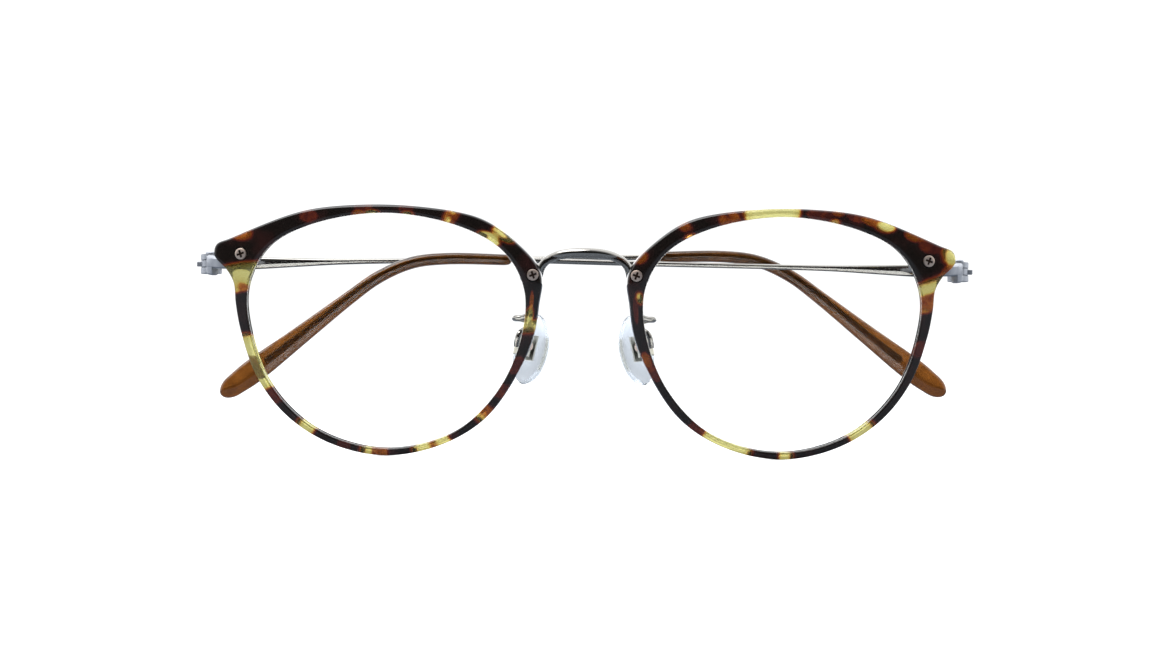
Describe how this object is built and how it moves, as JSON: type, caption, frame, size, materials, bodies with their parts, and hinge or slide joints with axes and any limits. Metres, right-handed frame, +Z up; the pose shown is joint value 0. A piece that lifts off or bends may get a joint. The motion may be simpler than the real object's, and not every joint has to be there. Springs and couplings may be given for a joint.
{
  "type": "eyeglasses",
  "caption": "Combination eyeglasses: round plastic full rims screwed to a metal bridge and endpieces, nose pads on arms, slim folding metal temples with plastic tips.",
  "frame": {"origin": "on the surface that the folded glasses stand on, under the middle of their box", "axes": "+X towards the wearer's left along the front, +Y back towards the face, +Z up; the front faces -Y"},
  "size_m": [0.1392, 0.0206, 0.0448],
  "materials": {
    "tortoise_acetate": "polished tortoise acetate, near black and maroon with amber and straw yellow patches",
    "lens_resin": "clear polished resin",
    "titanium": "polished antique silver titanium",
    "screw_steel": "polished screw heads with dark recesses",
    "tip_acetate": "translucent polished brown acetate over a flat metal core",
    "pad_clear": "clear soft plastic, slightly satin",
    "pad_core": "cream plastic insert"
  },
  "bodies": {
    "front": {"bridge": "titanium", "rim_left": "tortoise_acetate", "lens_left": "lens_resin", "bridge_screw_left": "screw_steel", "endpiece_screw_left": "screw_steel", "endpiece_left": "titanium", "hinge_screw_left": "screw_steel", "pad_arm_left": "titanium", "pad_box_left": "titanium", "pad_screw_left": "screw_steel", "rim_right": "tortoise_acetate", "lens_right": "lens_resin", "bridge_screw_right": "screw_steel", "endpiece_screw_right": "screw_steel", "endpiece_right": "titanium", "hinge_screw_right": "screw_steel", "pad_arm_right": "titanium", "pad_box_right": "titanium", "pad_screw_right": "screw_steel"},
    "left_temple": {"temple_left": "titanium", "temple_tip_left": "tip_acetate"},
    "right_temple": {"temple_right": "titanium", "temple_tip_right": "tip_acetate"},
    "left_nose_pad": {"pad_insert_left": "pad_core", "nose_pad_left": "pad_clear"},
    "right_nose_pad": {"pad_insert_right": "pad_core", "nose_pad_right": "pad_clear"}
  },
  "joints": [
    {"name": "left_temple_fold", "type": "hinge", "parent": "front", "child": "left_temple", "pos_m": [0.067, 0.00632, 0.03382], "axis": [0.0017, -0.0628, -0.998], "range_deg": [0, 91.5]},
    {"name": "right_temple_fold", "type": "hinge", "parent": "front", "child": "right_temple", "pos_m": [-0.067, 0.00632, 0.03382], "axis": [-0.0122, 0.0628, 0.998], "range_deg": [0, 88.5]},
    {"name": "left_nose_pad_rock", "type": "hinge", "parent": "front", "child": "left_nose_pad", "pos_m": [0.0108, -0.00042, 0.01981], "axis": [0.766, 0.6412, 0.0448], "range_deg": [-8, 8]},
    {"name": "right_nose_pad_rock", "type": "hinge", "parent": "front", "child": "right_nose_pad", "pos_m": [-0.0108, -0.00042, 0.01981], "axis": [-0.766, 0.6412, 0.0448], "range_deg": [-8, 8]}
  ]
}
